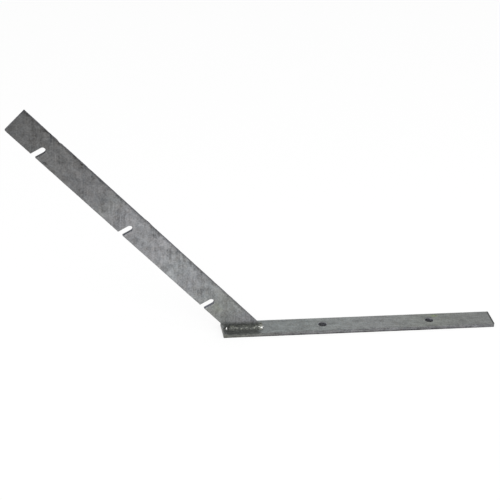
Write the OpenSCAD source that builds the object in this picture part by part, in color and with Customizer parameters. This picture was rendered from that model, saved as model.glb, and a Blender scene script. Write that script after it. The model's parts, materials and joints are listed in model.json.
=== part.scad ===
// Roof bracket: two flat steel bars welded at a fixed angle.
// A slotted arm stands on edge along the middle of a flat base bar and leans
// back past the bar's heel end. A fillet weld runs along each side of its foot.
// Sizes are in millimetres. The origin lies on the base bar's underside, midway
// between its two fixing holes. +X runs along the base bar to its free end,
// +Y runs across it, and +Z is up.

/* [Base bar] */
// Length of the base bar
base_len = 343; // [290:1:500]
// Width of the flat bar that the base is cut from, over its zinc
base_w = 32; // [26:0.5:60]
// Thickness of the base bar, over its zinc
base_t = 5; // [3:0.1:10]
// Corner radius in plan at the base bar's free end
free_corner_r = 1.5; // [1.4:0.1:6]

/* [Fixing holes] */
// Diameter of each fixing hole
hole_d = 10.3; // [6:0.1:16]
// Distance between the two hole centres
hole_pitch = 136; // [60:1:180]
// Distance from the free end to the nearer hole's centre
hole_end_gap = 81.5; // [20:0.5:120]
// Size of the bevel that punching leaves round each hole's upper rim
hole_break = 0.4; // [0.1:0.1:0.8]

/* [Slotted arm] */
// Length of the arm along its upper edge, from toe to tip
arm_len = 406; // [350:1:600]
// Width of the flat bar that the arm is cut from, over its zinc
arm_w = 32; // [26:0.5:50]
// Thickness of the arm, over its zinc
arm_t = 5; // [3:0.1:8]
// Rise of the arm above the base bar, in degrees
arm_rise = 45; // [35:1:60]
// Distance from the base bar's heel end to the heel of the arm
heel_inset = 6; // [2:0.5:30]

/* [Slots] */
// Number of slots in the arm's lower edge
slot_count = 3; // [1:1:3]
// Distance between slots along the lower edge
slot_pitch = 142; // [40:1:150]
// Width of each slot
slot_w = 7.6; // [6:0.1:12]
// Depth of each slot along its own centre line, to the end of its round
slot_depth = 16; // [10:0.5:22]
// Lean of each slot towards the foot, away from square, in degrees
slot_slant = 15; // [0:1:30]

/* [Edges and welds] */
// Radius along the rolled edges of both bars
edge_r = 0.4; // [0.2:0.1:1.3]
// Leg length of each fillet weld, on the arm and on the base bar
weld_leg = 5; // [3:0.1:8]
// Height of the weld's crown above a flat face
weld_crown = 0.6; // [0.2:0.1:1]
// Bare length left at each end of the foot, beyond the weld
weld_setback = 0.5; // [0.2:0.1:5]

/* [Hidden] */
$fn = 48;
// How far a cutter runs past the face that it cuts
overcut = 1;
// Ends of the base bar, counted from the middle of the hole pair
free_end_x = hole_pitch / 2 + hole_end_gap;
heel_end_x = free_end_x - base_len;
// The mitred foot: where it stands, and how much longer it makes the upper edge
heel_x = heel_end_x + heel_inset;
foot_len = arm_w / sin(arm_rise);
mitre_run = arm_w / tan(arm_rise);
lower_edge_len = arm_len - mitre_run;
// The slots are centred on the lower edge
first_slot = (lower_edge_len - (slot_count - 1) * slot_pitch) / 2;
// The weld bead: its straight run, and the circle that its face follows
weld_run = foot_len - 2 * (weld_setback + weld_leg);
weld_chord = weld_leg * sqrt(2);
weld_face_r = (pow(weld_chord / 2, 2) + pow(weld_crown, 2)) / (2 * weld_crown);
weld_face_back = (weld_face_r - weld_crown) / sqrt(2) - weld_leg / 2;

// Flat bar section, w wide from y = 0 and t thick about x = 0, corners rolled
module bar_section(w, t) {
    translate([edge_r - t / 2, 0]) square([t - 2 * edge_r, w]);
    translate([-t / 2, edge_r]) square([t, w - 2 * edge_r]);
    for (x = [edge_r - t / 2, t / 2 - edge_r], y = [edge_r, w - edge_r])
        translate([x, y]) circle(edge_r);
}

// Bar of length l on its edge along +X, standing on z = 0
module bar_on_edge(l, w, t) {
    rotate([90, 0, 90]) linear_extrude(l) bar_section(w, t);
}

// Plan of the base bar: square at the heel, corners broken at the free end
module base_plan() {
    corner_y = base_w / 2 - free_corner_r;
    translate([heel_end_x, -base_w / 2]) square([base_len - free_corner_r, base_w]);
    translate([heel_end_x, -corner_y]) square([base_len, 2 * corner_y]);
    for (side = [-1, 1])
        translate([free_end_x - free_corner_r, side * corner_y]) circle(free_corner_r);
}

// Cutter for one fixing hole, bevelled at its upper rim and sharp below
module fixing_hole() {
    translate([0, 0, -overcut]) cylinder(d = hole_d, h = base_t + 2 * overcut);
    translate([0, 0, base_t - hole_break])
        cylinder(d1 = hole_d, d2 = hole_d + 2 * hole_break, h = hole_break);
}

// Flat bar with two fixing holes on its centre line
module base_bar() {
    color("#858988") difference() {
        intersection() {
            translate([heel_end_x, base_w / 2, base_t / 2]) rotate([90, 0, 0])
                bar_on_edge(base_len, base_w, base_t);
            linear_extrude(base_t) base_plan();
        }
        for (side = [-1, 1]) translate([side * hole_pitch / 2, 0, 0]) fixing_hole();
    }
}

// Cutter for one open slot: it enters through z = 0 and rises along +Z to its round end
module slot_cut() {
    slot_reach = arm_t + 2 * overcut;
    below = slot_w;
    translate([-slot_w / 2, -slot_reach / 2, -below])
        cube([slot_w, slot_reach, slot_depth - slot_w / 2 + below]);
    translate([0, slot_reach / 2, slot_depth - slot_w / 2])
        rotate([90, 0, 0]) cylinder(d = slot_w, h = slot_reach);
}

// Arm laid out along -X with its heel at the origin, then tipped up about the
// heel and cut level along the top of the base bar
module slotted_arm() {
    color("#7b7e7f") translate([heel_x, 0, base_t]) difference() {
        rotate([0, arm_rise, 0]) difference() {
            translate([-lower_edge_len, 0, 0]) bar_on_edge(arm_len, arm_w, arm_t);
            for (i = [0 : slot_count - 1])
                translate([-first_slot - i * slot_pitch, 0, 0])
                    rotate([0, slot_slant, 0]) slot_cut();
        }
        translate([-overcut, -arm_t, -2 * arm_w])
            cube([foot_len + 2 * overcut, 2 * arm_t, 2 * arm_w]);
    }
}

// Bead section in the corner of two faces, bulging by weld_crown
module weld_section() {
    intersection() {
        square(weld_leg);
        translate([-weld_face_back, -weld_face_back]) circle(weld_face_r);
    }
}

// Bead along +X in the corner of y = 0 and z = 0, with rounded ends
module weld_bead() {
    rotate([90, 0, 90]) linear_extrude(weld_run) weld_section();
    translate([weld_run, 0, 0]) rotate_extrude(angle = 90) weld_section();
    rotate(90) rotate_extrude(angle = 90) weld_section();
}

// Bead in its place along the arm's rear face
module placed_weld() {
    translate([heel_x + weld_setback + weld_leg, arm_t / 2, base_t]) weld_bead();
}

module rear_weld() {
    color("#5d5c55") placed_weld();
}

module front_weld() {
    color("#5d5c55") mirror([0, 1, 0]) placed_weld();
}

base_bar();
slotted_arm();
front_weld();
rear_weld();
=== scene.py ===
# %% [markdown]
# # Roof bracket
#
# The real bracket is two flat steel bars. A base bar is bolted down through two holes. A
# slotted arm stands on edge on it and leans back at 45 degrees, so that strands of wire can
# lie in its three slots. The bars were welded first and dipped in molten zinc afterwards.
#
# The CAD model is the frame of everything here: it gives each bar its size and place. This
# script adds what the dip, the shears and the welder left on the steel.

import bpy
import bmesh
import json
import math
from mathutils import Matrix, Vector, noise

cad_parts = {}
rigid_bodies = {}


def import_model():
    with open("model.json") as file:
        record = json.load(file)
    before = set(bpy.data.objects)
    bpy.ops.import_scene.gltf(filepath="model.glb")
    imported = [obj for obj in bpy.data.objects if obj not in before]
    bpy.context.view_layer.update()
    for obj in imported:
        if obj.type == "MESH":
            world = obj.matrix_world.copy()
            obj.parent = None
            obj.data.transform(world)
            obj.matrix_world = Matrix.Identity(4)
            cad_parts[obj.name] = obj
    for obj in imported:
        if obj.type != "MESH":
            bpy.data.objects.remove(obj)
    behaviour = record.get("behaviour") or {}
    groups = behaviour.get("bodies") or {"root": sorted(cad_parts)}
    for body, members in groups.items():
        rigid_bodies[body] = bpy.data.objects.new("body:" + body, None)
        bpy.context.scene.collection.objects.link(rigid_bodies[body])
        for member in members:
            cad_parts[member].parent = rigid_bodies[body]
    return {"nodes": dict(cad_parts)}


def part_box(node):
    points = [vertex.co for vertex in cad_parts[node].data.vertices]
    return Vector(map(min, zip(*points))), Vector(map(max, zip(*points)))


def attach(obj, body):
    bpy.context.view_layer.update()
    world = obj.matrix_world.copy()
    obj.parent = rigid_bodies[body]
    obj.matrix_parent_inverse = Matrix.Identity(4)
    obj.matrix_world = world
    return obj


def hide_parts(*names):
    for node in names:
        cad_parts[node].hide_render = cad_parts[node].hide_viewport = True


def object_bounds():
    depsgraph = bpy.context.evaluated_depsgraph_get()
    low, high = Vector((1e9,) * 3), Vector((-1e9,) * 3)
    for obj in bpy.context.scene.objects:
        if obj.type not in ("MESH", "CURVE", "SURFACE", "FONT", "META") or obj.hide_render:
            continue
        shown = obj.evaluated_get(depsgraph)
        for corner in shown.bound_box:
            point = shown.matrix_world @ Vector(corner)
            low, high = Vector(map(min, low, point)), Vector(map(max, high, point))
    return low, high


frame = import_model()
cad_box = [list(corner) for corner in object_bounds()]
nodes = frame["nodes"]
print("CAD box in metres:", cad_box)

# %% [markdown]
# ## Camera
#
# Blender's camera looks down its own -Z axis. It is easiest to say where the camera aims, how
# far off it stands, and how far it is turned, tipped and rolled. The three turns are then
# applied in that order, starting from a camera that looks level along +Y.
#
# The lens is long, because a short one would make the near end of the base bar look too big.

# %% Camera
MM = 0.001

box_low, box_high = (Vector(corner) for corner in cad_box)
box_middle = (box_low + box_high) / 2
# The camera aims this far from the middle of the box, from this far away.
aim_shift = Vector((-13.1, 0, -36.2)) * MM
distance = 1919.1 * MM
turn_degrees, tip_degrees, roll_degrees = 11.7645, 26.0423, 3.4319
lens_mm = 116.195
sensor_mm = 36

turn, tip, roll = (math.radians(angle) for angle in (turn_degrees, tip_degrees, roll_degrees))
turned = (
    Matrix.Rotation(-turn, 4, "Z")
    @ Matrix.Rotation(math.radians(90) - tip, 4, "X")
    @ Matrix.Rotation(roll, 4, "Z")
)
camera_data = bpy.data.cameras.new("camera")
camera_data.sensor_width = sensor_mm
camera_data.lens = lens_mm
camera = bpy.data.objects.new("camera", camera_data)
scene_objects = bpy.context.scene.collection.objects
scene_objects.link(camera)
aim = box_middle + aim_shift
backwards = turned.to_3x3() @ Vector((0, 0, 1))
camera.matrix_world = Matrix.Translation(aim + backwards * distance) @ turned
bpy.context.scene.camera = camera
print("camera stands at", [round(c, 4) for c in camera.matrix_world.translation])

# %% [markdown]
# ## Colours and nodes
#
# A hex colour is written as a screen shows it, but light is added up in linear values, so one
# function turns the first into the second.
#
# Materials and Geometry Nodes are both trees of nodes. One small function adds a node, sets
# its options and fills its inputs. An input may be a number, or another node, whose first
# output is then linked to it.

# %% Colours
def linear(hex_colour):
    """An sRGB hex colour as linear red, green, blue and alpha."""
    parts = [int(hex_colour[i : i + 2], 16) / 255 for i in (1, 3, 5)]
    return [p / 12.92 if p <= 0.04045 else ((p + 0.055) / 1.055) ** 2.4 for p in parts] + [1]


print("mid grey #808080 in linear light:", round(linear("#808080")[0], 4))

# %% Nodes
# Short names for the nodes used most, and the setting that makes a Map Range ease in and out.
MATH, VECTOR_MATH, MIX = "ShaderNodeMath", "ShaderNodeVectorMath", "ShaderNodeMix"
SMOOTH = {"interpolation_type": "SMOOTHSTEP"}


def add(tree, kind, *values, stops=None, **settings):
    """A new node. values fill its inputs in order. A setting in small letters is an option,
    and one with a capital is an input's name. stops are a colour ramp's places and colours."""
    made = tree.nodes.new(kind)
    for key in [key for key in settings if key[0].islower()]:
        setattr(made, key, settings.pop(key))
    filled = list(zip([socket for socket in made.inputs if socket.enabled], values))
    filled += [(made.inputs[key.replace("_", " ")], settings[key]) for key in settings]
    for socket, value in filled:
        if isinstance(value, bpy.types.Node):
            value = next(output for output in value.outputs if output.enabled)
        if isinstance(value, bpy.types.NodeSocket):
            tree.links.new(value, socket)
        else:
            socket.default_value = value
    for number, (position, colour) in enumerate(stops or []):
        ramp = made.color_ramp.elements
        element = ramp[number] if number < 2 else ramp.new(position)
        element.position, element.color = position, linear(colour)
    return made


def empty_tree(owner):
    """The node tree of a material or a world, without the nodes that it starts with."""
    owner.use_nodes = True
    owner.node_tree.nodes.clear()
    return owner.node_tree


print("nodes used most:", MATH, VECTOR_MATH, MIX)

# %% [markdown]
# ## Floor, light and background
#
# The bracket is shown as if cut out, on pure white. The floor is therefore mostly a white that
# only the camera and reflections see, by way of the Light Path node. Some real pale floor is
# left in, so that the bracket still throws a soft shadow.
#
# That white must not shine up through the bolt holes, where a floor lies in the bar's own shadow.
# So a patch a little smaller than the base bar is a plain dark grey, painted shade that stands for
# that shadow. Nothing else can see it, because the bar covers it.
#
# The world does the same as the floor: white to look at, and a plain soft grey as a light.
# Metal shows what it reflects, so the white has to be there for glossy rays too.

# %% White floor that keeps the shadow
floor_half = 6.0
floor_mesh = bpy.data.meshes.new("floor")
corners = [(x * floor_half, y * floor_half, 0) for x, y in ((-1, -1), (1, -1), (1, 1), (-1, 1))]
floor_mesh.from_pydata(corners, [], [(0, 1, 2, 3)])
floor = bpy.data.objects.new("floor", floor_mesh)
floor.location = (box_middle.x, box_middle.y, box_low.z)
scene_objects.link(floor)
print("the floor is", 2 * floor_half, "m wide and lies at Z =", round(floor.location.z, 4))

# %% Floor paint
# The share of pure white that the camera sees, and how far the dark patch stays away from the
# base bar's edges.
white_part = 0.8
patch_margin = Vector((3, 3, 0)) * MM
floor_colour = linear("#f4f4f4")
# The patch's dark grey is painted shade: the floor in the bar's own shadow.
shade_patch_colour = linear("#5a5a5a")


def seen_directly(tree):
    """1 for camera, glossy and transmission rays, 0 for the rays that carry light."""
    path = add(tree, "ShaderNodeLightPath").outputs
    shiny = add(tree, MATH, path["Is Glossy Ray"], path["Is Transmission Ray"], operation="MAXIMUM")
    return add(tree, MATH, path["Is Camera Ray"], shiny, operation="MAXIMUM")


base_low, base_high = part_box("base_bar")
base_middle = (base_low + base_high) / 2 - floor.location
half_patch = (base_high - base_low) / 2 - patch_margin

floor_paint = bpy.data.materials.new("pale_floor")
tree = empty_tree(floor_paint)
place = add(tree, "ShaderNodeTexCoord").outputs["Object"]
away = add(tree, VECTOR_MATH, place, base_middle, operation="SUBTRACT")
away = add(tree, VECTOR_MATH, away, operation="ABSOLUTE")
away = add(tree, "ShaderNodeSeparateXYZ", away).outputs
in_length = add(tree, MATH, away["X"], half_patch.x, operation="LESS_THAN")
in_width = add(tree, MATH, away["Y"], half_patch.y, operation="LESS_THAN")
in_patch = add(tree, MATH, in_length, in_width, operation="MULTIPLY")
outside = add(tree, MATH, 1.0, in_patch, operation="SUBTRACT")
white_share = add(tree, MATH, seen_directly(tree), white_part, operation="MULTIPLY")
white_share = add(tree, MATH, white_share, outside, operation="MULTIPLY")
colour = add(tree, MIX, in_patch, floor_colour, shade_patch_colour, data_type="RGBA")
paper = add(tree, "ShaderNodeBsdfDiffuse", Color=colour)
white = add(tree, "ShaderNodeEmission", Color=linear("#ffffff"), Strength=1.0)
mixed = add(tree, "ShaderNodeMixShader", white_share, paper, white)
add(tree, "ShaderNodeOutputMaterial", mixed)
floor_mesh.materials.append(floor_paint)
print("floor paint:", len(tree.nodes), "nodes, dark patch", round(2 * half_patch.x, 3), "m long")

# %% World
room_strength = 0.85
world = bpy.data.worlds.new("studio")
bpy.context.scene.world = world
tree = empty_tree(world)
room_light = add(tree, "ShaderNodeBackground", Color=linear("#ffffff"), Strength=room_strength)
backdrop = add(tree, "ShaderNodeBackground", Color=linear("#ffffff"), Strength=1.0)
mixed = add(tree, "ShaderNodeMixShader", seen_directly(tree), room_light, backdrop)
add(tree, "ShaderNodeOutputWorld", mixed)
print("world:", len(tree.nodes), "nodes, room light", room_strength)

# %% [markdown]
# ## Lamps
#
# Zinc is a metal, so it mirrors its lamps as much as it is lit by them, and a small lamp would
# leave a hard glint. Three wide square lamps give the flat faces long soft gradients instead:
# one high on the left, one high on the right, and one low in front for the arm's face. An even
# dome of light would be simpler, but it would give every face the same grey.

# %% Three soft lamps
def soft_lamp(name, place, size, watts):
    """A square area lamp, size metres wide, that faces the middle of the bracket."""
    data = bpy.data.lights.new(name, "AREA")
    data.shape = "SQUARE"
    data.size = size
    data.energy = watts
    lamp = bpy.data.objects.new(name, data)
    facing = (box_middle - Vector(place)).to_track_quat("-Z", "Y")
    lamp.matrix_world = Matrix.Translation(place) @ facing.to_matrix().to_4x4()
    scene_objects.link(lamp)
    return lamp


# Each lamp: its name, its place in metres, its width in metres and its power in watts.
lamp_rows = [
    ("key_lamp", (-1.3, -1.5, 2.0), 1.6, 18),
    ("fill_lamp", (1.5, -0.6, 1.7), 1.6, 10),
    ("front_lamp", (0.2, -2.4, 0.9), 1.8, 16),
]
lamps = [soft_lamp(*row) for row in lamp_rows]
bpy.context.scene.view_settings.view_transform = "Standard"
print("lamps in watts:", {lamp.name: lamp.data.energy for lamp in lamps})

# %% [markdown]
# ## Places on the bracket
#
# Every pattern and every detail is placed from the CAD boxes and a few shop sizes. The arm's
# own directions are written down once: along its length, and across its width. A pattern that
# follows the arm is turned into these directions by a Mapping node, and then its sizes can be
# given as on a drawing of the flat bar.

# %% Sizes that the CAD gives
arm_low, arm_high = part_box("slotted_arm")
weld_low, weld_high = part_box("front_weld")

bar_thick = base_high.z - base_low.z
bar_wide = base_high.y - base_low.y
arm_front = arm_low.y
# The arm leans at 45 degrees, where the sine and the cosine are the same.
slope = math.sqrt(0.5)
toe = Vector((arm_high.x, 0, base_high.z))
heel = toe - Vector((bar_wide / slope, 0, 0))
arm_long = (heel.x - arm_low.x) / slope
print("heel", [round(c / MM, 2) for c in heel], "toe", [round(c / MM, 2) for c in toe])
print("the arm's lower edge is", round(arm_long / MM, 1), "mm long")
print("bar", round(bar_wide / MM, 2), "x", round(bar_thick / MM, 2), "mm")

# %% Directions of the bars
base_along, base_across, upwards = Vector((1, 0, 0)), Vector((0, 1, 0)), Vector((0, 0, 1))
arm_along = Vector((-slope, 0, slope))
arm_across = Vector((slope, 0, slope))
# The shear stood a little off square. The ends lean by this much, and so do the bands of
# colour along the bars.
shear_lean = math.radians(2)
off_square = math.tan(shear_lean)
toe_place = [round((toe - heel).dot(way) / MM, 1) for way in (arm_along, arm_across)]
print("from the heel, the toe lies", toe_place, "mm along and across the arm")

# %% [markdown]
# ## Hot-dip zinc
#
# The welded bracket is hung up, dipped in zinc at about 450 degrees and lifted out. The zinc
# freezes as a soft grey coat. New zinc shows a frost of crystals a few millimetres across,
# called spangle. In the weather it turns matt, with clouds, fine runs where the zinc drained
# down, and dark spots of flux and stain. All of that is soft, and it lies in layers of
# different size, so each layer is a noise of its own size that adds or takes a share of the
# brightness. One more layer leans the grey a little towards blue or olive.
#
# One picture wrapped round the bars could hold the same, but noise in real millimetres goes
# right round every corner and into the slots without a seam.

# %% Patterns that follow a bar
def bar_place(tree, along, across, origin):
    """Object coordinates turned so that X runs along a bar from its origin, and Y across it."""
    turn = Matrix((along, across, along.cross(across)))
    seen = add(tree, "ShaderNodeTexCoord").outputs["Object"]
    return add(tree, "ShaderNodeMapping", seen, Location=-(turn @ origin), Rotation=turn.to_euler())


def tones(tree, distance, stops):
    """A colour that changes with a distance; stops maps millimetres to hex colours."""
    first, last = min(stops) * MM, max(stops) * MM
    share = add(tree, "ShaderNodeMapRange", distance, first, last)
    places = [((mm * MM - first) / (last - first), colour) for mm, colour in sorted(stops.items())]
    return add(tree, "ShaderNodeValToRGB", share, stops=places)


print("the arm's pattern is counted from its heel, at X =", round(heel.x / MM, 1), "mm")

# %% Layers of brightness
noise_roughness = 0.55


def layer(tree, place, size, strength, detail=2.0):
    """Noise round zero: bumps of size (x, y, z) metres, adding up to about strength."""
    stretched = add(tree, "ShaderNodeMapping", place, Scale=[1 / one for one in size])
    cloud = add(
        tree, "ShaderNodeTexNoise", stretched, Scale=1.0, Detail=detail, Roughness=noise_roughness
    )
    centred = add(tree, MATH, cloud, 0.5, operation="SUBTRACT")
    return add(tree, MATH, centred, 2 * strength, operation="MULTIPLY")


def spangle_layer(tree, place, size, strength):
    """Crystals about size metres across, each with a brightness of its own."""
    crystals = add(tree, "ShaderNodeTexVoronoi", place, Scale=1 / size)
    single = add(tree, "ShaderNodeSeparateXYZ", crystals.outputs["Color"])
    centred = add(tree, MATH, single, 0.5, operation="SUBTRACT")
    return add(tree, MATH, centred, 2 * strength, operation="MULTIPLY")


def sum_of(tree, parts):
    """All the parts added up."""
    total = parts[0]
    for part in parts[1:]:
        total = add(tree, MATH, total, part, operation="ADD")
    return total


print("a layer whose bumps are 13 mm long has a noise scale of", round(1 / (13 * MM), 1))

# %% [markdown]
# ## Stains and the burnt zone
#
# Stains sit where they sit, so each is a row in a list: place along and across the bar, half
# length, half width and depth. Each one is a soft oval whose outline a noise bends. A stain with a
# negative depth is a pale spot. Some rows paint light and shade rather than stains: highlights and
# shade at the base bar's hole rims and edges, and a shadow along its bottom. The same ovals also
# mask the olive film that flux left beside a bolt hole and a slot.
#
# The zone round the weld is another matter. Welding scale and spent flux took the zinc badly
# there, and it stayed dark and dull. It runs over both bars, so it is placed by the bracket's
# own X, Y and Z, and both bars' finishes share the one function.

# %% Stains
# Size of the noise that bends the outlines, and the shares of an oval's half size at which it
# is still full and is gone.
bend_size = 5 * MM
oval_full, oval_gone = 0.25, 1.25


def stain_layer(tree, place, stains, bent_by):
    """Soft ovals from rows of (along, across, half length, half width, depth) in mm. A depth
    above zero darkens. bent_by is how far the noise may shift an outline, in metres."""
    bend = add(tree, "ShaderNodeTexNoise", place, Scale=1 / bend_size, Detail=2.0)
    bend = add(tree, VECTOR_MATH, bend.outputs["Color"], (0.5, 0.5, 0.5), operation="SUBTRACT")
    bend = add(tree, VECTOR_MATH, bend, (2 * bent_by, 2 * bent_by, 0), operation="MULTIPLY")
    bent = add(tree, VECTOR_MATH, place, bend, operation="ADD")
    ovals = []
    for along, across, half_long, half_wide, depth in stains:
        away = add(tree, VECTOR_MATH, bent, (along * MM, across * MM, 0), operation="SUBTRACT")
        oval = (1 / (half_long * MM), 1 / (half_wide * MM), 0)
        away = add(tree, VECTOR_MATH, away, oval, operation="MULTIPLY")
        radius = add(tree, VECTOR_MATH, away, operation="LENGTH")
        fade = (radius, oval_full, oval_gone, -depth, 0.0)
        ovals.append(add(tree, "ShaderNodeMapRange", *fade, **SMOOTH))
    return sum_of(tree, ovals)


print("a stain fades out between", oval_full, "and", oval_gone, "of its half size")

# %% Burnt zone
# Where the zone is still full and where it is gone, in millimetres: up from the base bar's top,
# along the bar from the arm's toe and from its heel, and out past the bar's long edges.
zone_up = (5.5, 10.5)
zone_from_toe = (-12.0, -7.6)
zone_from_heel = (-3.5, -5.2)
zone_past_edge = (0.3, 2.8)
# A fine noise makes its outline ragged, and a long one lets it lick along the bar in tongues.
ragged_size, ragged_reach = (3 * MM, 3 * MM, 3 * MM), 1.8 * MM
tongue_size, tongue_reach = (60 * MM, 9 * MM, 9 * MM), 11 * MM
# A point counts as the arm's from this far over the base bar, and to this far off its faces.
over_bar, off_arm = 0.2 * MM, 0.4 * MM


def burnt_zone(tree):
    """1 in the dark zone round the weld, 0 away from it."""
    seen = add(tree, "ShaderNodeTexCoord").outputs["Object"]
    at = add(tree, "ShaderNodeSeparateXYZ", seen).outputs
    ragged = layer(tree, seen, ragged_size, ragged_reach, detail=3.0)
    tongues = layer(tree, seen, tongue_size, tongue_reach, detail=3.0)
    x = sum_of(tree, [at["X"], ragged, tongues])
    z = add(tree, MATH, at["Z"], ragged, operation="ADD")
    from_middle = add(tree, MATH, at["Y"], operation="ABSOLUTE")
    below_top = add(tree, MATH, base_high.z, at["Z"], operation="SUBTRACT")
    below_top = add(tree, MATH, below_top, 0.0, operation="MAXIMUM")
    round_edge = add(tree, MATH, from_middle, below_top, operation="ADD")
    round_edge = add(tree, MATH, round_edge, ragged, operation="ADD")
    # Each side of the zone: what is measured, where its count starts, and the two distances.
    limits = [
        (z, base_high.z, zone_up),
        (x, toe.x, zone_from_toe),
        (x, heel.x, zone_from_heel),
        (round_edge, base_high.y, zone_past_edge),
    ]
    sides = []
    for measured, start, (full, gone) in limits:
        fade = (measured, start + full * MM, start + gone * MM, 1.0, 0.0)
        sides.append(add(tree, "ShaderNodeMapRange", *fade, **SMOOTH))
    below, before_toe, past_heel, within_edges = sides
    # On the arm the zone has no ends. The arm is what stands on the base bar's middle.
    over_base = add(tree, MATH, at["Z"], base_high.z + over_bar, operation="GREATER_THAN")
    on_arm = add(tree, MATH, from_middle, arm_high.y + off_arm, operation="LESS_THAN")
    on_arm = add(tree, MATH, over_base, on_arm, operation="MULTIPLY")
    beside = add(tree, MATH, before_toe, past_heel, operation="MULTIPLY")
    beside = add(tree, MATH, beside, on_arm, operation="MAXIMUM")
    zone = add(tree, MATH, below, within_edges, operation="MULTIPLY")
    return add(tree, MATH, zone, beside, operation="MULTIPLY")


print("the burnt zone fades out from", zone_up[0], "to", zone_up[1], "mm above the base bar")

# %% [markdown]
# ## One finish for all the zinc
#
# A Principled shader takes one colour, one roughness and one bump. The colour is the tone of
# this part of the bar, with the burnt zone and the film mixed in, times the sum of all the
# layers. Where the zinc froze in pale clouds it is also a little rougher and thicker, so the
# same clouds drive the roughness and the bump.
#
# Faces, edges and punched walls differ in tone, in shine and in the way that the runs go. One
# function makes the finish and is called for each of them. Five trees built by hand would look
# the same at first, and then drift apart with every change.

# %% Sizes and strengths of the layers
# A size is along, across and through the bar. A strength is the largest share of the
# brightness that a layer could add or take; noise seldom goes half as far. The patches say
# where the runs are strong: at their usual share, more, or down to the least. The grain of
# real zinc and its finest runs are under a millimetre, too fine to show, so both are drawn as
# coarse as they have to be.
drift_size, drift_strength = (45 * MM, 14 * MM, 14 * MM), 0.2
patch_size, patch_strength = (24 * MM, 11 * MM, 11 * MM), 1.5
cloud_size, cloud_strength = (13 * MM, 9 * MM, 9 * MM), 0.52
lean_size, lean_strength = (5 * MM, 5 * MM, 5 * MM), 0.05
spangle_size, spangle_strength = 3.5 * MM, 0.08
grain_size, grain_strength = (2 * MM, 2 * MM, 2 * MM), 0.52
run_strength, usual_runs, least_runs = 0.42, 0.75, 0.1

burnt_colour, film_colour = linear("#595b59"), linear("#76825a")
# Roughness of plain zinc, and what a cloud and the burnt zone add to it.
plain_rough, cloud_rough, burnt_rough = 0.5, 0.35, 0.2
zinc_relief = 0.12 * MM
print("drift is", round(drift_size[0] / MM), "mm long, and grain", round(grain_size[0] / MM), "mm")

# %% Put the layers together
def zinc_runs(tree, place, streaks, strength):
    """Fine runs of streaks (x, y, z) metres. Zinc ran down in some places and froze where it
    was in others, so the runs come and go in patches."""
    seen = add(tree, "ShaderNodeTexCoord").outputs["Object"]
    runs = layer(tree, seen, streaks, strength)
    patches = layer(tree, place, patch_size, patch_strength)
    patches = add(tree, MATH, patches, usual_runs, operation="ADD")
    patches = add(tree, MATH, patches, least_runs, operation="MAXIMUM")
    return add(tree, MATH, runs, patches, operation="MULTIPLY")


def zinc_finish(
    name, along, across, origin, stops, stains, streaks,
    strength=1.0, metal=0.85, shine=0.5, bent_by=3.5 * MM, film=None,
):
    """Weathered hot-dip zinc. Metal, but with a matt oxide skin: fairly rough, a little less
    than fully metallic. film is a row like a stain's, for the olive film. The stops run along
    the bar, and lie as much off square as its sheared ends."""
    finish = bpy.data.materials.new(name)
    tree = empty_tree(finish)
    place = bar_place(tree, along, across, origin)
    drift = layer(tree, place, drift_size, drift_strength)
    clouds = layer(tree, place, cloud_size, cloud_strength * strength, detail=3.0)
    spangle = spangle_layer(tree, place, spangle_size, spangle_strength * strength)
    runs = zinc_runs(tree, place, streaks, run_strength * strength)
    grain = layer(tree, place, grain_size, grain_strength * strength)
    stain = stain_layer(tree, place, stains, bent_by) if stains else 0.0
    brightness = sum_of(tree, [drift, clouds, spangle, runs, grain, stain, 1.0])

    way = add(tree, "ShaderNodeSeparateXYZ", place).outputs
    skewed = add(tree, MATH, way["Y"], -off_square, way["X"], operation="MULTIPLY_ADD")
    colour = tones(tree, skewed, stops)
    burnt = burnt_zone(tree)
    colour = add(tree, MIX, burnt, colour, burnt_colour, data_type="RGBA")
    if film:
        filmed = stain_layer(tree, place, [film], bent_by)
        colour = add(tree, MIX, filmed, colour, film_colour, data_type="RGBA")
    # More red with less blue leans towards olive, and less red with more blue towards blue.
    lean = layer(tree, place, lean_size, lean_strength)
    less = add(tree, MATH, lean, -1.0, operation="MULTIPLY")
    lean = add(tree, "ShaderNodeCombineXYZ", lean, 0.0, less)
    lean = add(tree, VECTOR_MATH, lean, brightness, operation="ADD")
    colour = add(tree, VECTOR_MATH, colour, lean, operation="MULTIPLY")

    rough = add(tree, MATH, clouds, cloud_rough, plain_rough, operation="MULTIPLY_ADD")
    rough = add(tree, MATH, burnt, burnt_rough, rough, operation="MULTIPLY_ADD", use_clamp=True)
    height = sum_of(tree, [clouds, grain])
    bump = add(tree, "ShaderNodeBump", Strength=1.0, Distance=zinc_relief, Height=height)
    skin = add(
        tree, "ShaderNodeBsdfPrincipled", Base_Color=colour, Metallic=metal, Roughness=rough,
        Normal=bump, Specular_IOR_Level=shine,
    )
    add(tree, "ShaderNodeOutputMaterial", skin)
    print(name, len(tree.nodes), "nodes")
    return finish


print("plain zinc has a roughness of", plain_rough, "and burnt zinc", plain_rough + burnt_rough)

# %% [markdown]
# ## Tones and stains of the broad faces
#
# The arm's faces are coloured darker towards its tip, while the base bar's are nearly even. A list
# of tones, one every few centimetres, holds such a slow change better than noise could. The stains
# are placed one by one: they are what makes this bracket this one and no other.
#
# The runs are not turned with the bar. On the arm they go straight up and down, as the bracket
# hung, and on the base bar they go along it.

# %% Faces of the arm
# Millimetres up the arm from its heel, and the colour there.
arm_tones = {
    -30: "#808082", -8: "#818183", 12: "#7f8180", 30: "#858785", 50: "#878989", 80: "#898a8c",
    105: "#8b8d8e", 140: "#8f8f91", 162: "#868789", 200: "#868688", 222: "#797a7a", 240: "#737374",
    260: "#6e6e6f", 300: "#696969", 340: "#626262", 364: "#5d5d5d", 374: "#565656",
}
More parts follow.
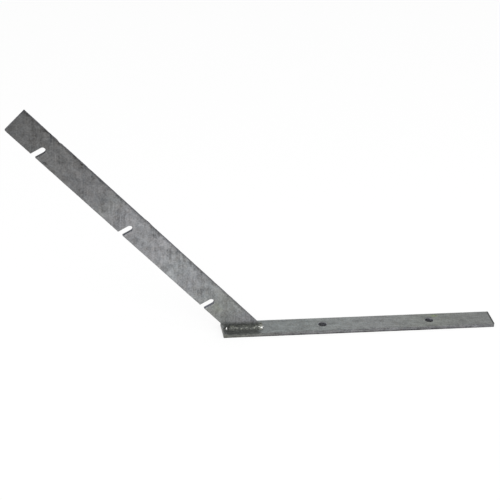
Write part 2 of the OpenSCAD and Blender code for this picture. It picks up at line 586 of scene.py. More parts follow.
# Place along and across the arm, half length, half width and depth, in mm. Dark spots first,
# then pale ones, which have a negative depth.
arm_stains = [
    (157, 26, 3, 3, 0.34), (62, 14, 4, 5, 0.34), (312, 3, 3, 2, 0.38), (88, 28, 3, 2, 0.38),
    (107, 28, 3, 2, 0.32), (121, 28, 3, 1.5, 0.24), (261, 28, 3, 2, 0.34), (279, 28, 3, 1.5, 0.24),
    (112, 13, 5, 4, 0.30), (129, 23, 3, 4, 0.14), (231, 14, 3, 8, 0.24), (158, 9, 3, 3, 0.22),
    (301, 16, 3, 3, 0.18), (223, 7, 3, 3, 0.22), (336, 8, 2, 2, 0.24), (370, 8, 3, 6, 0.12),
    (92, 22, 3, 3, 0.12), (249, 19, 4, 4, 0.12), (318, 11, 4, 3, 0.10), (255, 2, 12, 2, 0.14),
    # The rows at 31 to 32.5 mm across darken the face along the arm's upper edge.
    (190, 32.5, 260, 3, 0.34), (345, 31, 100, 2.4, 0.2), (137, 31.5, 36, 2.2, 0.12),
    (59, 31, 3, 2.5, 0.1), (10, 31, 5, 2, 0.08), (80, 31, 3, 2, 0.14), (111, 31, 3, 2, 0.12),
    (255, 31, 3, 2, 0.18),
    (100, 4, 10, 5, -0.24), (121, 22, 4, 3, -0.28), (141, 22, 3, 4, -0.25), (64, 25, 3, 3, -0.20),
    (24, 10, 3, 4, -0.2), (51, 12, 2, 2, -0.30), (12, 28, 11, 2, -0.36), (274, 18, 3, 4, -0.2),
    (216, 22, 3, 5, -0.18), (267, 26, 3, 3, -0.26), (-3, 23, 5, 2, -0.18), (218, 3, 5, 2, -0.24),
    (326, 17, 4, 5, -0.12), (320, 30, 4, 2.5, -0.22), (87, 4, 5, 3, -0.12), (239, 25, 4, 3, -0.1),
    (281, 30, 3, 1.5, -0.1), (16, 8, 4, 3, -0.1), (40, 3, 45, 4, -0.07), (262, 3, 45, 4, -0.05),
]
# A film is a row of the same kind. Its depth of -0.12 makes it 12 % of the film's green.
arm_film = (31, 12, 9, 6, -0.12)
arm_streaks = (1.6 * MM, 1.6 * MM, 22 * MM)
arm_face_zinc = zinc_finish(
    "arm_zinc_face", arm_along, arm_across, heel, arm_tones, arm_stains, arm_streaks, film=arm_film,
)

# %% Top of the base bar
# Counted from the heel end. The last tone is the dark line along the sheared free end. Beside each
# bolt hole is a painted highlight on its near rim and a line of painted shade along its far rim.
base_tones = {
    0: "#797b7b", 40: "#777b7b", 120: "#7c807f", 200: "#7f8181", 262: "#777a76", 300: "#757775",
    340.5: "#757776", 341.2: "#262727",
}
# The rows at 171 mm darken the top along its near and far edges. The pale rows at -8 mm across and
# the dark rows at 6 mm across are the painted highlights and painted shade at the bolt holes' rims,
# and the pale row at 280 mm is a painted highlight on the near top edge.
base_stains_and_rim_light = [
    (171, -16, 190, 3, 0.12), (103, -16, 14, 3, 0.2), (288, -10, 18, 6, 0.1),
    (171, 16, 190, 2, 0.1), (125.5, -8, 5, 2, -0.12), (261.5, -8, 5, 2, -0.12),
    (280, -15.5, 9, 1, -0.3), (125, 6, 4.5, 1.2, 0.35), (263.5, 6, 5, 1.2, 0.5),
]
base_film = (271, 10, 6, 3, -0.6)
base_streaks = (24 * MM, 1.6 * MM, 1.6 * MM)
base_start = Vector((base_low.x, 0, base_high.z))
base_face_zinc_and_rim_light = zinc_finish(
    "base_zinc_face_and_rim_light", base_along, base_across, base_start, base_tones, base_stains_and_rim_light, base_streaks,
    strength=1.1, film=base_film,
)

# %% [markdown]
# ## Edges and punched walls
#
# The narrow sides are coloured darker and made more matt than the broad faces. A rolled edge is
# rounded and rough, and a sheared or punched wall is torn steel, so neither gives back as much
# light. The arm's edges are darker still, and that extra darkness is painted shade.
# The arm's edges are seen almost along their surface, where any shine would turn them white,
# so their finish has hardly any.

# %% Edges of the arm
# Millimetres up the arm from its heel, and the colour of its edges there, darkened with painted
# shade.
arm_edge_shade_tones = {
    -30: "#59595d", 100: "#545458", 140: "#4c4c52", 170: "#434349", 240: "#3d3d44", 310: "#3c3c42",
    345: "#44444a", 372: "#444449",
}
arm_edge_streaks = (1.2 * MM, 9 * MM, 1.2 * MM)
arm_edge_zinc_and_shade = zinc_finish(
    "arm_zinc_edge_and_shade", arm_along, arm_across, heel, arm_edge_shade_tones, [], arm_edge_streaks,
    metal=0.3, shine=0.1,
)

# %% Edges of the base bar
# Here "across" is up and down, measured from the top face.
base_edge_tones = {0: "#6e6f69", 50: "#6c6c6b", 90: "#727274", 342: "#737375"}
# The three rows at 171 mm run the bar's whole length. The lowest is a painted shadow along the
# bottom, where the bar meets the floor; the other two make the side a little darker under its top
# rim and paler along its middle. The shorter rows darken patches low on the side.
base_edge_stains_and_shadow = [
    (243, -4.4, 13, 1.5, 0.45), (276, -3.2, 16, 2.2, 0.45), (215, -4.4, 7, 1.5, 0.4),
    (130, -4.4, 9, 1.2, 0.3), (171, -0.4, 200, 0.9, 0.1), (171, -5, 200, 2.1, 0.6),
    (171, -2.2, 190, 1.0, -0.12), (3, -4.4, 6, 2, 0.25),
]
base_edge_streaks = (26 * MM, 1.2 * MM, 1.2 * MM)
base_edge_zinc_and_shadow = zinc_finish(
    "base_zinc_edge_and_shadow", base_along, upwards, base_start, base_edge_tones, base_edge_stains_and_shadow,
    base_edge_streaks, strength=1.3, bent_by=1.0 * MM,
)

# %% Punched walls
# Slots stand in the light, bolt holes in their own shade, so the same zinc has to be
# paler in the holes to be seen at all. X tells them apart: every slot is beyond the heel.
punched_tones = {
    -240: "#26272b", -126: "#4c4e54", -26: "#61636c", 20: "#61636c", 60: "#86878c", 340: "#86878c",
}
punched_streaks = (1.2 * MM, 1.2 * MM, 9 * MM)
punched_wall_zinc = zinc_finish(
    "punched_zinc_wall", base_along, base_across, base_start, punched_tones, [], punched_streaks,
)

# %% [markdown]
# ## Two flat bars
#
# Flat bar comes off the mill with faces that are nearly flat and edges that are not quite
# straight. The cuts and the slots are sheared and punched, and the zinc rounds and thickens
# everything a little unevenly.
#
# The CAD solids have the right outline, so each bar starts as a copy of its solid. Its loose
# triangles are first joined and melted into flat faces. Then the copy is sliced every few
# millimetres, which gives it points to move. A Bevel could not make this unevenness, and a
# Displace modifier would need a group of points, chosen beforehand, to be rougher on the edges
# than on the faces. Here the points only move inwards, so that each bar stays inside its size.
# The one exception is a lump of zinc on the arm.

# %% Slice a copy of a CAD solid
# Points nearer than this become one point. Faces that meet flatter than this become one face.
same_point = 0.002 * MM
same_plane = math.radians(0.2)


def sliced_copy(node_name, piece_name, cuts):
    """A joined copy of a CAD node; cuts lists (direction, first, last, step) to slice it by."""
    mesh = nodes[node_name].data.copy()
    mesh.name = piece_name
    shape = bmesh.new()
    shape.from_mesh(mesh)
    bmesh.ops.remove_doubles(shape, verts=shape.verts, dist=same_point)
    bmesh.ops.dissolve_limit(shape, angle_limit=same_plane, verts=shape.verts, edges=shape.edges)
    melted = len(shape.faces)
    for direction, first, last, step in cuts:
        count = int((last - first) / step)
        for i in range(1, count):
            place = direction * (first + (last - first) * i / count)
            everything = shape.verts[:] + shape.edges[:] + shape.faces[:]
            bmesh.ops.bisect_plane(
                shape, geom=everything, dist=same_point, plane_co=place, plane_no=direction
            )
    shape.normal_update()
    print(piece_name, "was sliced from", melted, "faces into", len(shape.faces))
    return mesh, shape


def uneven(point, size, seed):
    """Noise from 0 to 1 at a point, with bumps about size metres across. The seed moves the
    point to another part of the same endless noise."""
    return 0.5 + 0.5 * noise.noise(point / size + Vector((seed, 3.7 * seed, 9.1)))


print("unevenness at the heel, from 0 to 1:", round(uneven(heel, 14 * MM, 2), 2))

# %% [markdown]
# ## Ends cut a little off square
#
# The shear cut about two degrees off square, and it shows on all three square cuts: both ends
# of the base bar and the arm's tip lean the same way. The CAD solid is as long as
# each bar's longer side. Here the shorter side is drawn back, and only the last few
# millimetres of the bar follow it.

# %% Turn the sheared ends
# Only this length of the bar follows its end.
turned_length = 12 * MM


def turn_end(shape, outwards, longer_side):
    """Draws back the end that faces outwards, more and more with the distance from the longer
    side. Both directions are unit vectors."""
    end = max(vert.co.dot(outwards) for vert in shape.verts)
    side = max(vert.co.dot(longer_side) for vert in shape.verts)
    for vert in shape.verts:
        share = max(0, 1 - (end - vert.co.dot(outwards)) / turned_length)
        drawn_back = off_square * (side - vert.co.dot(longer_side))
        vert.co -= outwards * share * drawn_back
    shape.normal_update()
    still_long = max(vert.co.dot(outwards) for vert in shape.verts)
    print("turned an end; its furthest point moved by", round((end - still_long) / MM, 2), "mm")


print("over a bar's width an end leans", round(off_square * bar_wide / MM, 2), "mm")

# %% [markdown]
# ## Uneven edges, a nick and a lump
#
# Zinc lies in slow waves on the faces, and along the edges it is knocked and chipped. Two
# noises multiplied give nicks that come in groups: the larger one says where, and the smaller
# one how deep.
#
# Two places on the arm's upper edge stand out from that. Near the tip, its far corner has a
# nick, and about halfway up the arm zinc ran together into a lump. A brush in Sculpt Mode
# could make both by hand. Points moved by a rule can be moved again when the bar changes.

# %% Shape the surface
# Faces sink by up to this much, in waves of this size.
face_sink, wave_size = 0.05 * MM, 14 * MM
# Nicks are this large and their groups this large. The gain brings the deepest to full depth.
nick_size, group_size, nick_gain = 2.6 * MM, 9 * MM, 1.6
# A point is on an edge when one of its faces points away from the broad side: its normal has
# less than this share in the broad side's direction.
edge_limit = 0.98


def dress(shape, face_axis, edge_nick, seed):
    """Pulls the points of a sliced bar inwards: edges by up to edge_nick, faces far less."""
    moves = []
    for vert in shape.verts:
        side = min(abs(face.normal.dot(face_axis)) for face in vert.link_faces)
        pull = face_sink * uneven(vert.co, wave_size, seed)
        if side < edge_limit:
            nick = uneven(vert.co, nick_size, seed + 5) * uneven(vert.co, group_size, seed + 9)
            pull += edge_nick * min(nick * nick_gain, 1) ** 2
        moves.append(vert.normal * pull)
    for vert, move in zip(shape.verts, moves):
        vert.co -= move
    shape.normal_update()
    deepest = max(move.length for move in moves)
    print("pulled", len(moves), "points in, by up to", round(deepest / MM, 2), "mm")


def knock(shape, middle, reach, push):
    """Moves the points within reach of the middle by push, less and less with the distance."""
    moved = 0
    for vert in shape.verts:
        near = max(0, 1 - (vert.co - middle).length / reach)
        vert.co += push * near ** 2 * (3 - 2 * near)
        moved += near > 0
    shape.normal_update()
    print("knocked", moved, "points, by up to", round(push.length / MM, 2), "mm")


print("nicks come in groups about", round(group_size / MM), "mm long")

# %% [markdown]
# ## Three finishes on one bar
#
# A mesh can hold several materials, and each of its faces has the number of one of them. Here
# the way that a face points gives the number: 0 for the broad sides, 1 for the narrow edges.
# A narrow face well inside the outline can only be the wall of a hole or a slot, and gets 2.
# Choosing the faces by hand would have to be done again after every change to the slices.
#
# The finished bar then rides on the frame's one body and takes the place of the plain CAD bar,
# which is hidden.

# %% Hang a finished bar on the frame
# A face is broad when its normal has more than this share in the broad side's direction.
broad_limit = 0.75
# Smooth shading keeps a crisp line where faces meet at more than this.
sharp_angle = math.radians(38)


def finish_bar(mesh, shape, node_name, face_axis, finishes, is_punched):
    """Writes the shape back to its mesh and hangs the new piece on the frame. finishes are
    for the broad faces, the narrow edges and the walls of punched holes or slots."""
    bmesh.ops.triangulate(shape, faces=[f for f in shape.faces if len(f.verts) > 4])
    mesh.materials.clear()
    for finish in finishes:
        mesh.materials.append(finish)
    for face in shape.faces:
        face.material_index = 0 if abs(face.normal.dot(face_axis)) > broad_limit else 1
        if face.material_index == 1 and is_punched(face.calc_center_median()):
            face.material_index = 2
    shape.to_mesh(mesh)
    shape.free()
    mesh.shade_smooth()
    mesh.set_sharp_from_angle(angle=sharp_angle)
    piece = bpy.data.objects.new(mesh.name, mesh)
    scene_objects.link(piece)
    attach(piece, "root")
    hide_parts(node_name)
    print(piece.name, len(mesh.vertices), "points,", len(mesh.polygons), "faces")


print("corners of more than", round(math.degrees(sharp_angle)), "degrees stay crisp")

# %% Base bar
slice_along, slice_across = 2 * MM, 3.9 * MM
# The deepest nick in its edges.
base_nick = 0.2 * MM


def inside_base(point):
    """True for a point well inside the base bar's outline, where only a hole has walls."""
    return abs(point.y) < bar_wide / 4 and base_low.x + bar_wide < point.x < base_high.x - bar_wide


base_cuts = [
    (base_along, base_low.x, base_high.x, slice_along),
    (base_across, base_low.y, base_high.y, slice_across),
]
base_mesh, base_shape = sliced_copy("base_bar", "base_flat_bar", base_cuts)
turn_end(base_shape, base_along, base_across)
turn_end(base_shape, -base_along, -base_across)
dress(base_shape, upwards, base_nick, seed=1)
finish_bar(
    base_mesh, base_shape, "base_bar", upwards,
    [base_face_zinc_and_rim_light, base_edge_zinc_and_shadow, punched_wall_zinc], inside_base,
)

# %% Slotted arm
arm_nick = 0.34 * MM
# The nick and the lump on the upper edge. Each row: how far up the arm, where in its thickness
# from the middle (0) to the far face (1), the reach, and how far outwards. Lengths are in mm.
arm_knocks = [(318, 1, 3.8, -0.85), (172, 0, 8, 0.5)]
# The lower edge's own rounding ends below this, and slots begin there.
rim = 0.6 * MM


def inside_arm(point):
    """True for a point well inside the arm's outline, where only a slot has walls."""
    up = (point - heel).dot(arm_across)
    along = (point - heel).dot(arm_along)
    return rim < up < bar_wide * 0.75 and bar_wide / 2 < along < arm_long - bar_wide / 2


foot_along = toe.dot(arm_along)
lower_edge = heel.dot(arm_across)
arm_cuts = [
    (arm_along, foot_along, foot_along + arm_long + bar_wide, slice_along),
    (arm_across, lower_edge, lower_edge + bar_wide, slice_across),
]
arm_mesh, arm_shape = sliced_copy("slotted_arm", "arm_flat_bar", arm_cuts)
turn_end(arm_shape, arm_along, arm_across)
dress(arm_shape, base_across, arm_nick, seed=2)
for along, from_middle, reach, push in arm_knocks:
    place = heel + arm_along * along * MM + arm_across * bar_wide
    place.y = from_middle * arm_high.y
    knock(arm_shape, place, reach * MM, arm_across * push * MM)
finish_bar(
    arm_mesh, arm_shape, "slotted_arm", base_across,
    [arm_face_zinc, arm_edge_zinc_and_shade, punched_wall_zinc], inside_arm,
)

# %% [markdown]
# ## Weld beads
#
# A fillet weld fills the corner where the foot of the arm meets the base bar. The welder lays
# it in small puddles, and each puddle freezes as a curved ripple that overlaps the one before.
#
# A bead follows a path and repeats its ripples, so Geometry Nodes make it. The tree starts
# from a flat grid. One side of the grid becomes the way along the bead, and the other side
# goes once round its three-cornered section: over the open face first, then back through the
# corner. Both beads use one tree; the far bead is the near one turned half round.

# %% Bead tree: inputs, and how every tree ends
def new_tree(name, inputs):
    """An empty Geometry Nodes tree, with the outputs of its input node by name."""
    tree = bpy.data.node_groups.new(name, "GeometryNodeTree")
    for label, kind in inputs.items():
        tree.interface.new_socket(label, in_out="INPUT", socket_type="NodeSocket" + kind)
    tree.interface.new_socket("Geometry", in_out="OUTPUT", socket_type="NodeSocketGeometry")
    return tree, add(tree, "NodeGroupInput").outputs


def end_tree(tree, shape, finish):
    """Ends a tree: instances become real points and faces, and all of them get the finish."""
    shape = add(tree, "GeometryNodeRealizeInstances", shape)
    shape = add(tree, "GeometryNodeSetMaterial", shape, Material=finish)
    add(tree, "NodeGroupOutput", shape)
    print(tree.name, "has", len(tree.nodes), "nodes")


bead_sizes = ("Length", "Leg", "Crown", "Run-out", "Ripple pitch", "Ripple height", "Lump height")
bead_inputs = {label: "Float" for label in bead_sizes}
bead_inputs |= {"Root": "Vector", "Half turn": "Float", "Seed": "Float", "Finish": "Material"}
bead_tree, given = new_tree("weld_bead", bead_inputs)
tree = bead_tree
print("inputs of the bead tree:", ", ".join(bead_inputs))

# %% Bead tree: the way along and the way round
points_along, points_round = 220, 41
grid = add(tree, "GeometryNodeMeshGrid", 1.0, 1.0, points_along, points_round)
spot = add(tree, "ShaderNodeSeparateXYZ", add(tree, "GeometryNodeInputPosition")).outputs
share_along = add(tree, MATH, spot["X"], 0.5, operation="ADD")
share_round = add(tree, MATH, spot["Y"], 0.5, operation="ADD")

# The open face takes the first part of the way round, and "across" runs over it from -1 to 1.
open_part = 0.7
on_face = add(tree, MATH, share_round, open_part, operation="LESS_THAN")
across = add(tree, MATH, share_round, 2 / open_part, -1.0, operation="MULTIPLY_ADD")
across_squared = add(tree, MATH, across, across, operation="MULTIPLY")
dome = add(tree, MATH, 1.0, across_squared, operation="SUBTRACT")
dome = add(tree, MATH, dome, 0.0, operation="MAXIMUM")
dome = add(tree, MATH, dome, on_face, operation="MULTIPLY")

# The two hidden sides run from the end of the face to the root, and out again.
hidden = add(tree, "ShaderNodeMapRange", share_round, open_part, 1.0, 0.0, 2.0, clamp=True)
up_hidden = add(tree, MATH, 1.0, hidden, operation="SUBTRACT", use_clamp=True)
out_hidden = add(tree, MATH, hidden, 1.0, operation="SUBTRACT", use_clamp=True)
up_face = add(tree, MATH, across, 0.5, 0.5, operation="MULTIPLY_ADD")
out_face = add(tree, MATH, across, -0.5, 0.5, operation="MULTIPLY_ADD")
up = add(tree, MIX, on_face, up_hidden, up_face)
out = add(tree, MIX, on_face, out_hidden, out_face)
print("the grid has", points_along, "x", points_round, "points, now", len(tree.nodes), "nodes")

# %% Bead tree: ripples and lumps
# Lumps are this large. Their noise also lets a ripple wander by this much from its even
# spacing, and each ripple is bowed by this much.
lump_size, wander_reach, bow_reach = 6 * MM, 2.4 * MM, 1.6 * MM
# From the middle of the open face to either side, the noise is read over this length.
half_face = 2 * MM

way = add(tree, MATH, share_along, given["Length"], operation="MULTIPLY")
# Round the hidden sides the noise runs back to where it began, or the seam would gape.
sideways = add(tree, MIX, on_face, add(tree, MATH, 1.0, hidden, operation="SUBTRACT"), across)
sideways = add(tree, MATH, sideways, half_face, operation="MULTIPLY")
wander_at = add(tree, "ShaderNodeCombineXYZ", way, sideways, given["Seed"])
wander = add(tree, "ShaderNodeTexNoise", wander_at, Scale=1 / lump_size, Detail=2.0, Roughness=0.6)

bow = add(tree, MATH, across_squared, bow_reach, operation="MULTIPLY")
puddle = add(tree, MATH, way, bow, operation="SUBTRACT")
puddle = add(tree, MATH, wander, wander_reach, puddle, operation="MULTIPLY_ADD")
puddle = add(tree, MATH, puddle, given["Ripple pitch"], operation="DIVIDE")
puddle = add(tree, MATH, puddle, operation="FRACT")
ripple = add(tree, MATH, 1.0, add(tree, MATH, puddle, 2.0, operation="POWER"), operation="SUBTRACT")
bulge = add(tree, MATH, ripple, given["Ripple height"], given["Crown"], operation="MULTIPLY_ADD")
lump = add(tree, MATH, wander, 0.5, operation="SUBTRACT")
bulge = add(tree, MATH, lump, given["Lump height"], bulge, operation="MULTIPLY_ADD")
bulge = add(tree, MATH, bulge, dome, operation="MULTIPLY")
# The bulge stands out at 45 degrees, so it goes up and out by the same part of its height.
bulge = add(tree, MATH, bulge, slope, operation="MULTIPLY")
print("ripples and lumps added, now", len(tree.nodes), "nodes")

# %% Bead tree: rounded ends, then every point in its place
# The legs grow with the lumps too, from the first of these shares by up to the second.
least_leg, added_leg = 0.85, 0.3
# The two ends of the way round meet, and points nearer than this are merged there.
seam_width = 0.01 * MM

left_over = add(tree, MATH, given["Length"], way, operation="SUBTRACT")
to_end = add(tree, MATH, way, left_over, operation="MINIMUM")
short = add(tree, "ShaderNodeMapRange", to_end, 0.0, given["Run-out"], 1.0, 0.0, clamp=True)
full = add(tree, MATH, short, short, operation="MULTIPLY")
full = add(tree, MATH, 1.0, full, operation="SUBTRACT")
full = add(tree, MATH, full, operation="SQRT")
ragged = add(tree, MATH, wander, added_leg, least_leg, operation="MULTIPLY_ADD")
leg = add(tree, MATH, given["Leg"], ragged, operation="MULTIPLY")
out_far = add(tree, MATH, out, leg, bulge, operation="MULTIPLY_ADD")
out_far = add(tree, MATH, out_far, full, operation="MULTIPLY")
up_far = add(tree, MATH, up, leg, bulge, operation="MULTIPLY_ADD")
up_far = add(tree, MATH, up_far, full, operation="MULTIPLY")

# The tree makes the near bead, where outwards is -Y.
from_middle = add(tree, MATH, given["Length"], -0.5, way, operation="MULTIPLY_ADD")
to_near_side = add(tree, MATH, out_far, -1.0, operation="MULTIPLY")
bead_at = add(tree, "ShaderNodeCombineXYZ", from_middle, to_near_side, up_far)
bead = add(tree, "GeometryNodeSetPosition", grid.outputs[0], Position=bead_at)
bead = add(tree, "GeometryNodeMergeByDistance", bead, Distance=seam_width)
bead = add(tree, "GeometryNodeTransform", bead, Translation=given["Root"])
about_z = add(tree, "ShaderNodeCombineXYZ", 0.0, 0.0, given["Half turn"])
bead = add(tree, "GeometryNodeTransform", bead, Rotation=about_z)
bead = add(tree, "GeometryNodeSetShadeSmooth", bead)
end_tree(tree, bead, given["Finish"])

# %% Grow a tree into a plain mesh
def grown(name, tree, inputs, start_mesh=None):
    """Runs a tree on a mesh, with values for its inputs by name. Returns the result as a piece
    without a modifier."""
    piece = bpy.data.objects.new(name, start_mesh or bpy.data.meshes.new(name + "_start"))
    scene_objects.link(piece)
    modifier = piece.modifiers.new("grow", "NODES")
    modifier.node_group = tree
    for socket in tree.interface.items_tree:
        if socket.in_out == "INPUT" and socket.name in inputs:
            modifier[socket.identifier] = inputs[socket.name]
    ready = piece.evaluated_get(bpy.context.evaluated_depsgraph_get())
    mesh = bpy.data.meshes.new_from_object(ready)
    piece.modifiers.remove(modifier)
    piece.data = mesh
    mesh.name = name
    print(name, len(mesh.vertices), "points,", len(mesh.polygons), "faces")
    return piece


sockets = {socket.name: socket.identifier for socket in bead_tree.interface.items_tree}
print("a modifier knows the bead's Leg as", sockets["Leg"], "and its Crown as", sockets["Crown"])

# %% [markdown]
# ## Weld finish
#
# The bead was dipped too, but silicon in the weld metal and the scale on it make the zinc grow dark
# and lumpy. It shows as a nearly black olive grey. A lighter colour along its crest is a painted
# highlight, where the top of the ripples would catch the light.
#
# The crest of a fillet is where it stands as high above the base bar as it stands out from the arm,
# and a place can be tested for that. So the painted highlight needs no mask drawn onto the bead,
# and it follows the bead wherever it goes.

# %% Weld colours
blotch_size = 2.4 * MM
flank_ramp = [(0.3, "#343532"), (0.5, "#454744"), (0.62, "#575954"), (0.75, "#74766c")]
# The crest's paler ramp is a painted highlight.
crest_highlight_ramp = [(0.3, "#424341"), (0.48, "#545655"), (0.57, "#6d6f6a"), (0.68, "#9c9d93")]

weld_skin_and_highlight = bpy.data.materials.new("weld_zinc_crest_highlight")
tree = empty_tree(weld_skin_and_highlight)
seen = add(tree, "ShaderNodeTexCoord").outputs["Object"]
blotch = add(tree, "ShaderNodeTexNoise", seen, Scale=1 / blotch_size, Detail=3.0, Roughness=0.6)
flanks = add(tree, "ShaderNodeValToRGB", blotch, stops=flank_ramp)
crest = add(tree, "ShaderNodeValToRGB", blotch, stops=crest_highlight_ramp)
print("weld colours:", len(flank_ramp), "for the flanks,", len(crest_highlight_ramp), "for the crest")

# %% Where the crest runs
# The crest sinks in the second part of the run: by how much, and where it goes down (counted
# from the heel) and comes up again (counted from the toe).
sag_depth = 1.6 * MM
goes_down = (heel.x + 12 * MM, heel.x + 17 * MM)
comes_up = (toe.x - 15 * MM, toe.x - 10 * MM)
# The crest's painted highlight wavers with a noise. It is full near its middle line and gone
# further off.
waver_size, waver_reach = (4 * MM, 4 * MM, 4 * MM), 3.5 * MM
crest_full, crest_gone = 0.4 * MM, 1.8 * MM

at = add(tree, "ShaderNodeSeparateXYZ", seen).outputs
from_arm = add(tree, MATH, at["Y"], operation="ABSOLUTE")
from_arm = add(tree, MATH, from_arm, arm_high.y, operation="SUBTRACT")
over_base = add(tree, MATH, at["Z"], base_high.z, operation="SUBTRACT")
off_crest = add(tree, MATH, over_base, from_arm, operation="SUBTRACT")
sinks = add(tree, "ShaderNodeMapRange", at["X"], *goes_down, 0.0, sag_depth, **SMOOTH)
rises = add(tree, "ShaderNodeMapRange", at["X"], *comes_up, 0.0, -sag_depth, **SMOOTH)
sag = add(tree, MATH, sinks, rises, operation="ADD")
wavy = layer(tree, seen, waver_size, waver_reach)
off_crest = add(tree, MATH, sum_of(tree, [off_crest, sag, wavy]), operation="ABSOLUTE")
on_crest_highlight = add(tree, "ShaderNodeMapRange", off_crest, crest_full, crest_gone, 1.0, 0.0, **SMOOTH)
print("from side to side the crest fades out over", round(2 * crest_gone / MM, 1), "mm")

# %% Weld finish
# Past the end of the burnt zone the bead is nearly as pale as the bar beside it.
pale_from, pale_to, pale_share = toe.x - 8 * MM, toe.x - 3.5 * MM, 0.85
weld_relief = 0.15 * MM

colour = add(tree, MIX, on_crest_highlight, flanks, crest, data_type="RGBA")
pale_end = add(tree, "ShaderNodeMapRange", at["X"], pale_from, pale_to, 0.0, pale_share, **SMOOTH)
colour = add(tree, MIX, pale_end, colour, linear("#7f8079"), data_type="RGBA")
bump = add(tree, "ShaderNodeBump", Strength=1.0, Distance=weld_relief, Height=blotch)
skin = add(
    tree, "ShaderNodeBsdfPrincipled", Base_Color=colour, Metallic=0.8, Roughness=0.55, Normal=bump
)
add(tree, "ShaderNodeOutputMaterial", skin)
print("weld finish:", len(tree.nodes), "nodes")

# %% Lay the two beads
# The root lies a little inside both bars, so that no gap shows along the bead's sides.
root_depth = 0.1 * MM
foot_middle = Vector(((weld_low.x + weld_high.x) / 2, 0, 0))
bead_settings = {
    "Length": weld_high.x - weld_low.x,
    "Leg": weld_high.z - weld_low.z,
    "Crown": 0.3 * MM,
    "Run-out": 3.0 * MM,
    "Ripple pitch": 2.3 * MM,
    "Ripple height": 0.3 * MM,
    "Lump height": 1.2 * MM,
    "Root": Vector((0, arm_front + root_depth, base_high.z - root_depth)),
    "Finish": weld_skin_and_highlight,
}
for name, node_name, half_turn, seed in (
    ("front_bead", "front_weld", 0.0, 3.0),
    ("rear_bead", "rear_weld", math.pi, 8.0),
):
    bead = grown(name, bead_tree, bead_settings | {"Half turn": half_turn, "Seed": seed})
    bead.data.transform(Matrix.Translation(foot_middle))
    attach(bead, "root")
    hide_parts(node_name)

# %% [markdown]
# ## Spatter and drops
#
# Welding throws small balls of metal on the steel beside the bead. They stick, and the dip coats
# them. The last zinc also hangs in drops where it drains off, here at both ends of the near bead,
# and these drops are coloured nearly white as a painted glint.
#
# The balls lie at random, so a tree scatters them over four strips beside the beads, with a fixed
# seed. The bright drops are listed, one point for each, and a second tree puts one rounded body on
# every point. A ball of spatter has only 42 points, because at its size more would not show. The
# drops are larger and shine, so each has 162.

# %% Spatter tree
spatter_inputs = {
    "Strips": "Geometry", "Per square metre": "Float", "Ball": "Float", "Seed": "Int",
    "Finish": "Material",
}
# Each ball is stretched by random shares of its radius: two along the face, and its height.
smallest, largest = (0.45, 0.45, 0.3), (1.5, 1.5, 0.8)

spatter_tree, given = new_tree("weld_spatter", spatter_inputs)
tree = spatter_tree
scatter = add(
    tree, "GeometryNodeDistributePointsOnFaces", given["Strips"],
    Density=given["Per square metre"], Seed=given["Seed"],
)
ball = add(tree, "GeometryNodeMeshIcoSphere", Radius=given["Ball"], Subdivisions=2)
ball = add(tree, "GeometryNodeSetShadeSmooth", ball)
sizes = add(tree, "FunctionNodeRandomValue", data_type="FLOAT_VECTOR", Min=smallest, Max=largest)
balls = add(
    tree, "GeometryNodeInstanceOnPoints", scatter.outputs["Points"],
    Instance=ball, Rotation=scatter.outputs["Rotation"], Scale=sizes,
)
end_tree(tree, balls, given["Finish"])

# %% Strips that catch the spatter
# Each bead has a strip that lies beside it and one that stands on the arm above it. All of
# this is in mm. The lying strip goes from one Y to the other, and the standing one from one
# height over the base bar to the other, just off the arm's face.
lying_in, lying_out = 8.5, 14.5
standing_low, standing_high = 7, 20
off_face = 0.02
# Where the strips begin and end in X, counted from the heel and from the toe. The standing
# strip leans back with the arm, so its upper side is further back than its lower side.
lying_ends = (-4, 8)
lower_ends, upper_ends = (-6, -9), (-17, -20)


def side_of_strip(ends, y, z):
    """The two end points of one long side of a strip, in mm."""
    return [(heel.x / MM + ends[0], y, z), (toe.x / MM + ends[1], y, z)]


top = base_high.z / MM
strips = []
for side in (-1, 1):
    inner = side_of_strip(lying_ends, side * lying_in, top)
    outer = side_of_strip(lying_ends, side * lying_out, top)
    y = side * (off_face - arm_front / MM)
    lower = side_of_strip(lower_ends, y, top + standing_low)
    upper = side_of_strip(upper_ends, y, top + standing_high)
    lying, standing = outer + inner[::-1], lower + upper[::-1]
    # Corners that run the other way round turn a strip's face over, and the balls with it.
    strips += [lying, standing] if side < 0 else [lying[::-1], standing[::-1]]
strip_corners = [Vector(corner) * MM for one in strips for corner in one]
strip_faces = [range(4 * i, 4 * i + 4) for i in range(len(strips))]
strip_mesh = bpy.data.meshes.new("spatter_strips")
strip_mesh.from_pydata(strip_corners, [], strip_faces)
strip_area = sum(face.area for face in strip_mesh.polygons)
print(len(strips), "strips with", round(strip_area / MM ** 2), "square mm between them")

# %% Spatter
spatter_settings = {
    "Per square metre": 14000.0, "Ball": 0.45 * MM, "Seed": 4, "Finish": base_face_zinc_and_rim_light,
}
spatter = grown("weld_spatter", spatter_tree, spatter_settings, strip_mesh)
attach(spatter, "root")

# %% [markdown]
# ## Drops with a painted glint
#
# The drops are coloured nearly white, which paints a glint on them, brighter than the lamps alone
# would make zinc. Their round shape also mirrors a lamp from wherever it is seen, which gives the
# eye a small glint of its own. A matt white would be as pale, but without that glint. Pure metal
# would be bright only where it mirrors something bright, so the finish is half metal.

# %% Zinc with a painted glint
# Nearly white: the drops' painted glint.
glint_ramp = [(0.35, "#dcddd9"), (0.6, "#f8f8f6")]
dimple_size, dimple_depth = 1.5 * MM, 0.04 * MM

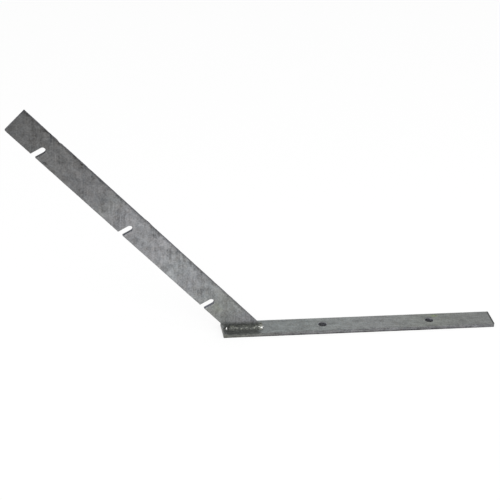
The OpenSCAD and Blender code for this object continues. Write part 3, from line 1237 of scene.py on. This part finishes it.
glint_zinc = bpy.data.materials.new("zinc_drop_painted_glint")
tree = empty_tree(glint_zinc)
seen = add(tree, "ShaderNodeTexCoord").outputs["Object"]
dimples = add(tree, "ShaderNodeTexNoise", seen, Scale=1 / dimple_size, Detail=2.0)
colour = add(tree, "ShaderNodeValToRGB", dimples, stops=glint_ramp)
bump = add(tree, "ShaderNodeBump", Strength=1.0, Distance=dimple_depth, Height=dimples)
skin = add(
    tree, "ShaderNodeBsdfPrincipled", Base_Color=colour, Metallic=0.5, Roughness=0.3, Normal=bump
)
add(tree, "ShaderNodeOutputMaterial", skin)
print("bright zinc:", len(tree.nodes), "nodes")

# %% Drop tree
drop_inputs = {"Points": "Geometry", "Ball": "Float", "Finish": "Material"}
drop_tree, given = new_tree("zinc_drops", drop_inputs)
tree = drop_tree
ball = add(tree, "GeometryNodeMeshIcoSphere", Radius=given["Ball"], Subdivisions=3)
ball = add(tree, "GeometryNodeSetShadeSmooth", ball)
sizes = add(tree, "GeometryNodeInputNamedAttribute", "drop_size", data_type="FLOAT_VECTOR")
points = add(tree, "GeometryNodeMeshToPoints", given["Points"])
balls = add(tree, "GeometryNodeInstanceOnPoints", points, Instance=ball, Scale=sizes)
end_tree(tree, balls, given["Finish"])

# %% Drops
# Each drop: the end of the foot where it hangs, its middle from there and its half sizes, in mm.
drop_rows = [
    (heel, (-0.75, -3.6, 0.3), (0.95, 1.2, 2.6)),
    (toe, (-3.3, -5.1, 1.6), (1.7, 1.3, 1.3)),
    (toe, (-2.3, -5.4, 0.8), (1.0, 0.9, 0.7)),
    (toe, (-6.2, -5.2, 3.0), (1.2, 0.35, 0.3)),
    (toe, (-1.5, -3.7, 2.3), (1.0, 0.7, 0.5)),
]
drop_mesh = bpy.data.meshes.new("drop_points")
drop_mesh.from_pydata([end + Vector(middle) * MM for end, middle, half in drop_rows], [], [])
drop_sizes = drop_mesh.attributes.new("drop_size", "FLOAT_VECTOR", "POINT")
for stored, (end, middle, half) in zip(drop_sizes.data, drop_rows):
    stored.vector = half
drop_settings = {"Ball": 1.0 * MM, "Finish": glint_zinc}
drops = grown("zinc_drops", drop_tree, drop_settings, drop_mesh)
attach(drops, "root")
